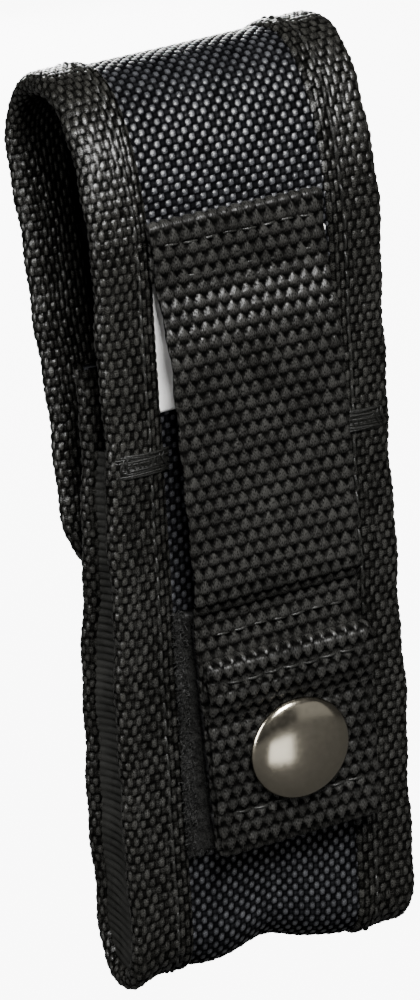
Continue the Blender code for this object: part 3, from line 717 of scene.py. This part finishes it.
def stitches(places, lifts, pitch):
    """Separate stitches along a smooth path of points with a lift direction at each."""
    sink, crown, share = 0.00030, 0.00016, 0.86
    runs = np.concatenate([[0], np.cumsum(np.linalg.norm(np.diff(places, axis=0), axis=1))])
    count = max(int(runs[-1] / pitch), 1)
    pitch = runs[-1] / count
    strands = []
    for k in range(count):
        jitter = (RNG.random() - 0.5) * 0.06 * pitch
        s = k * pitch + pitch * (0.5 + share * np.linspace(-0.5, 0.5, 7)) + jitter
        point = np.stack([np.interp(s, runs, places[:, c]) for c in range(3)], -1)
        up = np.stack([np.interp(s, runs, lifts[:, c]) for c in range(3)], -1)
        shape = np.array([-sink, -0.1 * sink, crown * 0.8, crown, crown * 0.8, -0.1 * sink, -sink])
        strands.append(point + up * shape[:, None])
    return strands


def seam_object(name, strands):
    """Separate stitches as one piece of thread."""
    return tubes_object(name, hung(np.array(strands)), THREAD_RADIUS, THREAD, 8)


def body_seam(side):
    """The stitches along one side of the body, through the tape."""
    s = np.linspace(0.0012, BODY_LINE.length - 0.0008, 600)
    centre, out, normal = straight_path(BODY_LINE, side, s)
    face = centre - out * SEAM_INSET + normal * (HALF_BINDING - 0.00006)
    return stitches(soften(face), normal, SEAM_PITCH)


def flap_seam():
    """The stitches round the flap's edge."""
    q = np.linspace(0.0006, flap_edge_length() - 0.0006, 1200)
    centre, out, normal = round_path(FLAP_LINE, q, FLAP_RADIUS)
    face = centre - out * SEAM_INSET + normal * (HALF_BINDING - 0.00006)
    return stitches(soften(face), normal, SEAM_PITCH)


def level_row(half, y, z):
    """A row of stitches across the strap, which faces out of the back."""
    x = np.linspace(-half, half, 120)
    wander = 0.00012 * np.sin(x * 700 + z * 900)
    line = np.stack([x, np.full_like(x, y), z + wander], -1)
    return stitches(skewed(line), np.tile([0.0, 1.0, 0.0], (120, 1)), ROW_PITCH)


def bartack(side):
    """A dense satin stitch across the back binding, with strands over it."""
    middle = side * BARTACK_X
    strands = []
    y = BACK_Y + HALF_BINDING
    for k in range(34):
        z = BARTACK_Z + (k / 33 - 0.5) * 0.0030 + (RNG.random() - 0.5) * 0.0002
        wide = 0.0036 + (RNG.random() - 0.5) * 0.0009
        x = middle + np.linspace(-wide, wide, 7)
        shape = np.array([-0.0005, -0.0001, 0.00006, 0.0001, 0.00006, -0.0001, -0.0005])
        lean = (RNG.random() - 0.5) * 0.0008 * np.linspace(-1, 1, 7)
        strands.append(np.stack([x, y + shape + RNG.random() * 0.0002, z + lean], -1))
    for k in range(9):
        x0 = middle + (k / 8 - 0.5) * 0.0062
        z = BARTACK_Z + np.linspace(-0.0016, 0.0016, 7)
        shape = np.array([-0.0005, 0.0, 0.00022, 0.00026, 0.00022, 0.0, -0.0005])
        strands.append(np.stack([x0 + 0.0003 * np.sin(z * 2500 + k), y + shape, z], -1))
    return soften(np.array(strands))


# ---------------------------------------------------------------- belt strap


def strap_points():
    """The strap's middle line: sewn fold, free run round the belt, doubled tab and hem."""
    half = STRAP_THICK / 2
    inner_top = STRAP_SEAT_Y + half
    outer_top = inner_top + STRAP_THICK + GAP * 0.5
    radius = (outer_top - inner_top) / 2
    top = STRAP_TOP_Z - half - radius
    run = CHANNEL_Y + half
    inner = TAB_INNER_Y + half
    turn = half + GAP / 2 + 0.0001
    outer = inner + 2 * turn
    tail = inner + STRAP_THICK + GAP
    hem = tail + STRAP_THICK + GAP
    hem_turn = (hem - tail) / 2
    hem_top = TAB_TOP_Z - half - hem_turn
    line = [np.array([(inner_top, SEWN_END_Z), (inner_top, FOLD_FOOT_Z)])]
    line.append(arc(((inner_top + outer_top) / 2, top), radius, 180, 0))
    line.append(np.array([(outer_top, FOLD_FOOT_Z), (outer_top, STRAP_HINGE_Z)]))
    line.append(
        bezier((outer_top, STRAP_HINGE_Z), (outer_top, 0.1035), (run, 0.1010), (run, RUN_TOP_Z))
    )
    line.append(np.array([(run, RUN_BOTTOM_Z + 0.0004)]))
    line.append(
        bezier((run, RUN_BOTTOM_Z), (run, 0.0598), (inner, 0.0598), (inner, TAB_START_Z))
    )
    line.append(arc((inner + turn, TAB_BOTTOM_Z + half + turn), turn, 180, 360))
    line.append(np.array([(outer, 0.0432), (hem - 0.0001, 0.0464)]))
    line.append(arc(((tail + hem) / 2, hem_top), hem_turn, 0, 180))
    line.append(np.array([(tail, TAB_TOP_Z - HEM_LENGTH)]))
    return Line(np.concatenate(line), soft=7)


def strap_object():
    """The webbing from its sewn fold to its hem, and its length."""
    line = strap_points()
    s = steps_for(line.length, WEBBING_CELL[1], 7)
    x = np.linspace(-STRAP_WIDTH / 2, STRAP_WIDTH / 2, 92)
    y, z, ny, nz = line.at(s)
    u, v = x[None, :] + 0 * s[:, None], s[:, None] + 0 * x[None, :]
    # The line runs up the sewn end, over it and down the strap, so teeth point against it.
    height, tone = webbing_weave(u, -v, WEBBING_CELL, 3)
    back_height, back_tone = webbing_weave(u + 0.0009, -v, WEBBING_CELL, 8)
    half = STRAP_THICK / 2
    rounding = smooth_step((STRAP_WIDTH / 2 - np.abs(x)) / 0.0009)[None, :]
    lift = (half - 0.00042 + 0.00050 * height) * (0.45 + 0.55 * rounding)
    under = (half - 0.00032 + 0.00036 * back_height) * (0.45 + 0.55 * rounding)
    sewn = np.zeros_like(u)
    facing = np.abs(ny[:, None]) > 0.5
    fold_side = np.where(s < 0.020, 1.0, 0.0)[:, None]
    for row_z in ANCHOR_ROWS_Z:
        sewn += fold_side * bump(z[:, None], row_z, 0.00065) * facing
    on_tab = (s > line.length - 0.046)[:, None]
    for row_z in (HEM_ROW_Z, TAB_ROW_Z):
        sewn += on_tab * bump(z[:, None], row_z, 0.00060) * facing
    within = smooth_step((STRAP_WIDTH / 2 - 0.0009 - np.abs(x)) / 0.0012)[None, :]
    lift = lift - 0.00042 * np.clip(sewn, 0, 1) * within
    edge_wave = 0.00013 * np.sin(s * 830)[:, None] * np.sign(x)[None, :] * (1 - rounding)
    bow = 0.00035 * (1 - (x / (STRAP_WIDTH / 2)) ** 2)[None, :] * bump(z, 0.083, 0.014)[:, None]
    middle_y = y[:, None] + bow * np.sign(ny)[:, None]

    def face(amount):
        return np.stack(
            [u + edge_wave, middle_y + ny[:, None] * amount, z[:, None] + nz[:, None] * amount], -1
        )

    outer = hung(skewed(face(lift)))
    inner = hung(skewed(face(-under)))
    made = slab_object("webbing_strap", outer, inner, WEBBING, tone, back_tone, x, s)
    return made, line.length


# ---------------------------------------------------------------- patches, fuzz and label


def patch_object(name, x, z, y_low, y_high, material, wobble, skew=False):
    """A slab of hook or loop tape with a rough face and soft edges."""
    columns, rows = int((x[1] - x[0]) / 0.00045), int((z[1] - z[0]) / 0.00045)
    gx, gz = np.meshgrid(np.linspace(x[0], x[1], columns), np.linspace(z[0], z[1], rows))
    rough = cell_noise(np.arange(rows)[:, None], np.arange(columns)[None, :], len(name))
    edge = np.minimum.reduce([gx - x[0], x[1] - gx, gz - z[0], z[1] - gz])
    body = smooth_step(edge / 0.0006 + 0.35)
    thick = (y_high - y_low) * (0.55 + 0.45 * body) - wobble * rough
    shake = cell_noise(np.arange(rows)[:, None] * 1.7, np.arange(columns)[None] * 2.3, 4) - 0.5
    shaky = wobble * shake
    px = gx + shaky * (1 - body) * 2
    outer = np.stack([px, y_low + thick, gz + shaky], -1)
    inner = np.stack([px, np.full_like(gx, y_low), gz + shaky], -1)
    if skew:
        outer, inner = skewed(outer), skewed(inner)
    outer, inner = hung(soften(outer)), hung(soften(inner))
    tone = 0.25 + 0.6 * rough * body
    return slab_object(name, outer, inner, material, tone, tone * 0.5, gx[0], gz[:, 0])


def unit(*way):
    """A vector of length 1 along a direction."""
    return np.array(way) / np.linalg.norm(way)


def fuzz(count, place, length, radius, name, material):
    """Short curled fibres. place(k) gives a root and a way out."""
    strands = []
    for k in range(count):
        root, way = place(k)
        side = RNG.normal(size=3)
        side -= way * (side @ way)
        side /= np.linalg.norm(side) + 1e-9
        t = np.linspace(0, 1, 6)[:, None]
        reach = length * (0.5 + RNG.random())
        bend = reach * (0.35 + 0.4 * RNG.random())
        strands.append(root + way * reach * (t - 0.35 * t**2) + side * bend * np.sin(t * 2.4))
    thin = radius * (1 - 0.4 * np.linspace(0, 1, 6))[None, :]
    return tubes_object(name, hung(np.array(strands)), thin, material, 4)


def pile_fuzz():
    """Loops of pile that stand out of the loop tape's edges."""

    def place(k):
        z = 0.0205 + 0.0375 * RNG.random()
        x = (0.0122 + 0.0012 * RNG.random()) * (1 if k % 3 else -1)
        if k % 7 == 0:
            x, z = 0.0125 * (2 * RNG.random() - 1), 0.0212
        y = BACK_FACE_Y + GAP + 0.0010 * RNG.random() + 0.0002
        root = np.array([x, y, z])
        way = (np.sign(x) * (0.5 + RNG.random()), 0.5 + 0.6 * RNG.random(), RNG.random() - 0.5)
        return root, unit(*way)

    return fuzz(2200, place, 0.0010, 0.00007, "pile_fuzz", PILE)


def hook_fuzz():
    """Fibres at the edges of the hook tape behind the tab."""

    def place(k):
        z = 0.0250 + 0.0310 * RNG.random()
        x = 0.0115 * (1 if k % 4 else -1)
        y = BACK_FACE_Y + 2 * GAP + PATCH_THICK * (1.0 + RNG.random())
        root = skewed(np.array([x, y, z]))
        way = (np.sign(x) * (0.6 + RNG.random()), 0.5 * (RNG.random() - 0.5), RNG.random() - 0.5)
        return root, unit(*way)

    return fuzz(700, place, 0.0007, 0.00006, "hook_fuzz", HOOKS)


def label_object():
    """A blank white label on the back, behind the strap."""
    z = np.linspace(*LABEL_Z, 62)
    x = np.linspace(*LABEL_X, 62)
    gx, gz = np.meshgrid(x, z)
    gx = gx - 0.0015 * smooth_step((gz - 0.1025) / 0.0010) * (gx < -0.0100)
    y = BACK_FACE_Y + 0.00008 + 0.00006 * np.sin(gz * 900 + gx * 300) + 0 * gx
    ragged = 0.00022 * np.sin(gz * 1500) + 0.00016 * np.sin(gz * 3100 + 1.0)
    px = gx + ragged * (np.abs(gx) / 0.0130) ** 6
    outer = skewed(np.stack([px, y + 0.00012, gz], -1))
    inner = skewed(np.stack([px, y, gz], -1))
    tone = 0.65 + 0.3 * cell_noise(np.floor(gx / 0.0004), np.floor(gz / 0.0004), 2)
    return slab_object("blank_label", hung(outer), hung(inner), LABEL, tone, tone, x, z)


# ---------------------------------------------------------------- gussets


def gusset_object(name, side):
    """Ribbed webbing that closes the side between the two bindings."""
    z = np.arange(0.0012, GUSSET_TOP_Z, 0.00023)
    inside = (HALF_BINDING + GAP) * 0.55
    drop = np.sqrt(np.clip((BODY_DEPTH / 2 - inside) ** 2 - (z - BEND_Z) ** 2, 0, None))
    y0 = np.where(z < BEND_Z, -drop, front_y(z) + inside)
    y1 = np.where(z < BEND_Z, drop, BACK_Y - inside)
    t = np.linspace(0, 1, 26)
    gy = y0[:, None] + (y1 - y0)[:, None] * t[None, :]
    gz = z[:, None] + 0 * gy
    ribs = yarn(gz / RIB_PITCH + 0.04 * np.sin(gy * 900))
    sag = 0.0022 * np.sin(t * math.pi)[None, :] * smooth_step((z - 0.006) / 0.03)[:, None]
    x = side * (HALF_PANEL + 0.0003 - sag + 0.00024 * ribs)
    spread = 0.7 + 0.3 * cell_noise(np.floor(gz / RIB_PITCH), np.floor(gy / 0.0008), 6)
    # Painted light: rib crests lighter and the grooves between them darker as painted shade;
    # spread is random tone.
    tone = (0.15 + 0.75 * ribs) * spread
    points = hung(soften(np.stack([x, gy, gz], -1)))
    return grid_object(name, points, GUSSET, tone, t, z, flip=side < 0)


# ---------------------------------------------------------------- snap


def lathe(name, profile, centre, material, segments=96):
    """A turned piece about the axis that runs along +Y through centre."""
    profile = np.asarray(profile, float)
    angle = np.linspace(0, 2 * math.pi, segments, endpoint=False)
    ring = np.stack([np.cos(angle), np.zeros(segments), np.sin(angle)], -1)
    points = ring[None] * profile[:, 0][:, None, None]
    points[..., 1] += profile[:, 1][:, None]
    points += np.asarray(centre)
    rows = len(profile)
    i = np.arange(rows - 1)[:, None] * segments
    j = np.arange(segments)[None, :]
    k = (j + 1) % segments
    quads = np.stack([i + j, i + segments + j, i + segments + k, i + k], -1).reshape(-1, 4)
    return new_mesh(name, points.reshape(-1, 3), quads, material)


def snap_cap():
    """The domed cap with its rolled edge, and its shank through the tab."""
    centre = skewed(np.array([0.0, 0.0, SNAP_Z]))
    a = np.radians(np.linspace(0, 78, 26))
    dome = np.stack([CAP_RADIUS * np.sin(a) / math.sin(a[-1]), 0.0012 + 0.0019 * np.cos(a)], -1)
    dome[0, 0] = 0.00001
    edge = arc((CAP_RADIUS - 0.0004, 0.00125), 0.00050, 30, -80, 10)
    low = np.array(
        [(CAP_RADIUS - 0.0006, 0.0004), (0.0019, 0.0004), (0.0019, -0.0030), (0.00001, -0.0030)]
    )
    profile = np.concatenate([dome[:-2], edge, low])
    centre = hung(np.array([centre[0], TAB_FACE_Y, centre[2]]))
    return lathe("polished_cap", profile, centre, STEEL)


# ---------------------------------------------------------------- build every piece


def build():
    """Every piece but the closure's patches."""
    body = nylon_panel("pouch_cloth", BODY_LINE, 0.0, 1)
    keep(body, ["body_shell", "body_foam"], "pouch")
    inside = lining_panel("pouch_lining", BODY_LINE, 0.0, 2)
    keep(inside, ["body_lining"], "pouch")
    flap = nylon_panel("flap_cloth", FLAP_LINE, FLAP_RADIUS, 1)
    keep(flap, ["flap_shell", "flap_foam"])
    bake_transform(flap)
    under = lining_panel("flap_inner_lining", FLAP_LINE, FLAP_RADIUS, 3)
    keep(under, ["flap_lining"])
    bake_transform(under)

    for side, word in ((1, "left"), (-1, "right")):
        edge = side_binding(f"tape_{word}", side, 5)
        keep(edge, [f"body_binding_{word}"], "pouch")
        seam = seam_object(f"seam_{word}", body_seam(side))
        keep(seam, [f"body_seam_{word}"], "pouch")
        web = gusset_object(f"side_web_{word}", side)
        keep(web, [f"gusset_{word}"], "pouch")
        tack = tubes_object(f"tack_{word}", hung(bartack(side)), THREAD_RADIUS, SHADED_THREAD, 6)
        keep(tack, [f"bartack_{word}"], "pouch")
    edge, length = flap_binding()
    keep(edge, ["flap_binding"])
    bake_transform(edge)
    seam = seam_object("seam_flap", flap_seam())
    keep(seam, ["flap_seam"])
    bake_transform(seam)
    edge, length = front_top_binding()
    keep(edge, ["front_top_binding"], "pouch")

    strap, length = strap_object()
    keep(strap, ["strap_anchor", "belt_strap"])
    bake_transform(strap)
    outer_top = STRAP_SEAT_Y + 2 * STRAP_THICK + GAP * 0.5
    for word, z in zip(("upper", "lower"), ANCHOR_ROWS_Z):
        stitched = level_row(ANCHOR_ROW_HALF, outer_top - 0.00035, z)
        row = seam_object(f"stitch_row_{word}", stitched)
        keep(row, [f"anchor_stitches_{word}"], "pouch")
    rows = (
        ("hem_row", "tab_hem_stitches", HEM_FACE_Y - 0.00035, HEM_ROW_Z),
        ("tab_row", "tab_lower_stitches", TAB_FACE_Y - 0.00040, TAB_ROW_Z),
        ("patch_row", "hook_patch_stitches", TAB_INNER_Y + STRAP_THICK - 0.00025, PATCH_ROW_Z),
    )
    for name, node, y, z in rows:
        row = seam_object(name, level_row(TAB_ROW_HALF, y, z))
        keep(row, [node], "strap")

    loop_top = BACK_FACE_Y + GAP + PATCH_THICK
    loop = patch_object("loop_tape", LOOP_X, LOOP_Z, BACK_FACE_Y - 0.0001, loop_top, PILE, 0.00035)
    keep(loop, ["back_loop_patch"], "pouch")
    low, high = loop_top + GAP, loop_top + GAP + PATCH_THICK + 0.0002
    hooks = patch_object("hook_tape_strap", HOOK_X, HOOK_Z, low, high, HOOKS, 0.00030, skew=True)
    keep(hooks, ["strap_hook_patch"], "strap")
    curls = pile_fuzz()
    keep(curls, [], "pouch")
    curls = hook_fuzz()
    keep(curls, [], "strap")
    tag = label_object()
    keep(tag, ["label"], "pouch")
    cap = snap_cap()
    keep(cap, ["snap_cap"], "strap")


def closure_patches():
    """Hook and loop tape between the flap's end and the front panel."""
    front = ("front_loop_tape", "front_loop_patch", BODY_LINE, FRONT_LOOP_RUN, "pouch", PILE)
    hook = ("flap_hook_tape", "flap_hook_patch", FLAP_LINE, FLAP_HOOK_RUN, "flap", HOOKS)
    rows, columns = 32, 60
    for (name, node, line, spans, body, material), slot, sign in (
        (front, "pile_tape", 1),
        (hook, "hook_tape", -1),
    ):
        s = np.linspace(spans[0], spans[1], rows) + (line.length if spans[0] < 0 else 0)
        x = np.linspace(-CLOSURE_HALF, CLOSURE_HALF, columns)
        rough = cell_noise(np.arange(rows)[:, None], np.arange(columns)[None, :], 5)
        tone = 0.2 + 0.5 * rough
        base = sign * (HALF_LAMINATE + 0.0001) + 0 * rough
        top = sign * (HALF_LAMINATE + GAP + 0.0005 + 0.0002 * rough)
        lifts = (top, base) if sign > 0 else (base, top)
        outer, inner = (hung(soften(off_line(line.at(s), x[None, :], lift))) for lift in lifts)
        made = slab_object(name, outer, inner, material, tone, tone, x, s)
        keep(made, [node], body)


build()
closure_patches()

for node_name in ("snap_stud", "snap_post", "snap_socket"):
    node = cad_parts[node_name]
    node.data.materials.clear()
    node.data.materials.append(STEEL)
    node.data.shade_smooth()


# ---------------------------------------------------------------- floor, light and camera


def white_to_camera(tree, glow, strength):
    """The camera sees white, and the holster only gets a little light from it."""
    seen = tree.nodes.new("ShaderNodeLightPath")
    link(tree, remap(tree, seen.outputs["Is Camera Ray"], (0.0, 1.0), (glow, 9.0)), strength)


def plain_floor():
    """A pale floor just under the holster."""
    material = bpy.data.materials.new("pale_floor")
    material.use_nodes = True
    tree = material.node_tree
    shader = tree.nodes["Principled BSDF"]
    shader.inputs["Base Color"].default_value = (0.012, 0.012, 0.012, 1)
    shader.inputs["Roughness"].default_value = 0.9
    shader.inputs["Emission Color"].default_value = (1, 1, 1, 1)
    white_to_camera(tree, 0.025, shader.inputs["Emission Strength"])
    low = -HUNG_AT[2] - 0.0045
    points = np.array([(-3, -3, low), (3, -3, low), (3, 3, low), (-3, 3, low)])
    floor = new_mesh("floor", points, np.array([[0, 1, 2, 3]]), material)


def area_light(name, place, target, size, power, size_y=None):
    """A soft light at a place, turned to a target."""
    data = bpy.data.lights.new(name, "AREA")
    data.energy = power
    data.size = size
    if size_y:
        data.shape = "RECTANGLE"
        data.size_y = size_y
    light = bpy.data.objects.new(name, data)
    bpy.context.scene.collection.objects.link(light)
    light.location = place
    light.rotation_euler = (Vector(target) - Vector(place)).to_track_quat("-Z", "Y").to_euler()


def studio():
    """Soft lights round the holster, and a small card that the snap mirrors."""
    world = bpy.data.worlds.new("studio")
    bpy.context.scene.world = world
    world.use_nodes = True
    shade = world.node_tree.nodes["Background"]
    shade.inputs[0].default_value = (1, 1, 1, 1)
    white_to_camera(world.node_tree, 0.06, shade.inputs[1])
    area_light("key", (0.065, 0.54, 0.60), (0, 0, 0), 0.30, 24.0, 0.34)
    area_light("side", (0.60, 0.10, 0.20), (0, 0, 0), 0.20, 5.0, 0.40)
    area_light("card", (-0.0065, 0.0850, -0.0800), (-0.0016, 0.0067, -0.0455), 0.032, 0.012, 0.040)
    area_light("fill", (-0.45, 0.62, 0.10), (0, 0, 0), 0.50, 0.3)
    area_light("front", (-0.20, -0.65, 0.04), (0, 0, 0), 0.22, 7.0)


def camera():
    """A camera up and to one side of the holster's back, as the picture was taken."""
    yaw, rise, roll, far = math.radians(23.4), math.radians(20.2), math.radians(3.4), 0.501
    out = Vector((math.sin(yaw) * math.cos(rise), math.cos(yaw) * math.cos(rise), math.sin(rise)))
    right = Vector((-math.cos(yaw), math.sin(yaw), 0.0))
    up = out.cross(right)
    turned_right = right * math.cos(roll) - up * math.sin(roll)
    turned_up = right * math.sin(roll) + up * math.cos(roll)
    target = Vector((0.0, -0.0030, -0.0170)) - turned_right * 0.00636 + turned_up * 0.00610
    place = target + out * far
    data = bpy.data.cameras.new("camera")
    data.sensor_fit = "VERTICAL"
    data.sensor_height = 24.0
    data.lens = 85.97
    data.clip_start = 0.01
    view = bpy.data.objects.new("camera", data)
    bpy.context.scene.collection.objects.link(view)
    view.matrix_world = Matrix(
        (
            (turned_right.x, turned_up.x, out.x, place.x),
            (turned_right.y, turned_up.y, out.y, place.y),
            (turned_right.z, turned_up.z, out.z, place.z),
            (0, 0, 0, 1),
        )
    )
    bpy.context.scene.camera = view


plain_floor()
studio()
camera()
